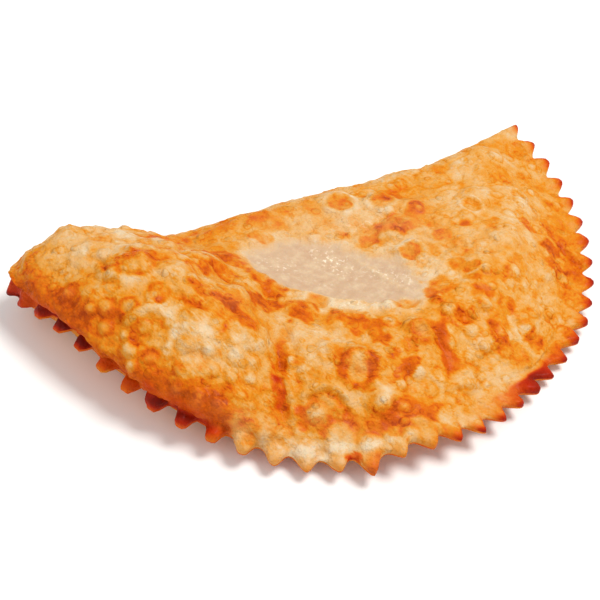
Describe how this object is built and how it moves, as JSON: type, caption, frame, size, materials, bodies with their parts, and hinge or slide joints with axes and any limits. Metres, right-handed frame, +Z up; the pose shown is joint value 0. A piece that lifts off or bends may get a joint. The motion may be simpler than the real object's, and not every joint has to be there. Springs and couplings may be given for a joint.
{
  "type": "cheburek",
  "caption": "Half-moon deep-fried turnover of thin blistered dough, folded along a straight back edge and sealed along its curve with a toothed seam.",
  "frame": {"origin": "on the flat of the belly that rests on the table, under the middle of the pastry", "axes": "+X along the folded back edge from the drooping tip to the raised tip, +Z up, the rounded toothed seam towards -Y"},
  "size_m": [0.1935, 0.1171, 0.0326],
  "materials": {
    "crust": "fried dough, golden to red-brown, blistered, with a thin oily sheen"
  },
  "bodies": {
    "root": {"pastry": "crust"}
  },
  "joints": []
}
